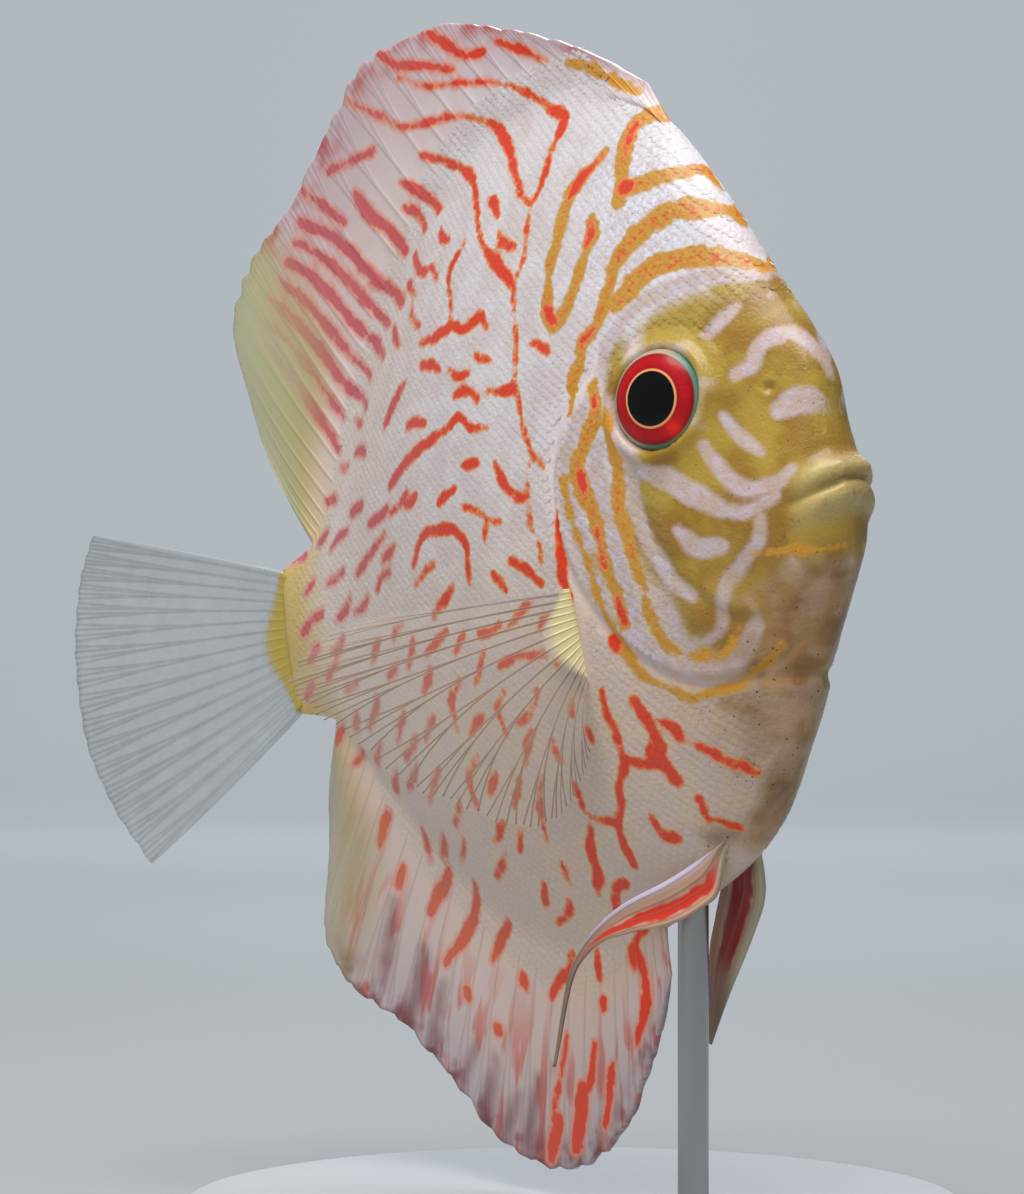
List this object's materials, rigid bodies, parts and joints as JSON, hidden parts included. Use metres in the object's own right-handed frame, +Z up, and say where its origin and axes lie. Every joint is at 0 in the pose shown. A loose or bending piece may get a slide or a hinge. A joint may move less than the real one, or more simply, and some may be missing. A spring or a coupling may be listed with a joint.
{
  "type": "discus fish display model",
  "caption": "Life-size still model of a tall disc-shaped aquarium fish with spread fins, held on one rod over a round base.",
  "frame": {"origin": "centre of the stand base's underside, on the floor", "axes": "+Z up, +X the way the fish swims, +Y to the fish's left"},
  "size_m": [0.1518, 0.104, 0.1673],
  "materials": {
    "face_skin": "moist mustard yellow skin with pale lines",
    "flank_skin": "moist pearly scaled skin with orange-red network",
    "lip_skin": "soft moist skin",
    "eye": "scarlet iris and black pupil under a clear glossy cornea",
    "fin_membrane": "thin moist membrane over fin rays",
    "clear_fin": "nearly clear membrane over fine rays",
    "stand_base": "satin pale grey lacquer",
    "stand_rod": "satin"
  },
  "bodies": {
    "root": {"head": "face_skin", "torso": "flank_skin", "tail_stalk": "flank_skin", "upper_lip": "lip_skin", "lower_lip": "lip_skin", "gill_cover_left": "face_skin", "gill_cover_right": "face_skin", "eye_left": "eye", "eye_right": "eye", "dorsal_fin": "fin_membrane", "anal_fin": "fin_membrane", "caudal_fin": "clear_fin", "pectoral_fin_left": "clear_fin", "pectoral_fin_right": "clear_fin", "pelvic_fin_left": "fin_membrane", "pelvic_fin_right": "fin_membrane", "stand_base": "stand_base", "stand_rod": "stand_rod"}
  },
  "joints": []
}
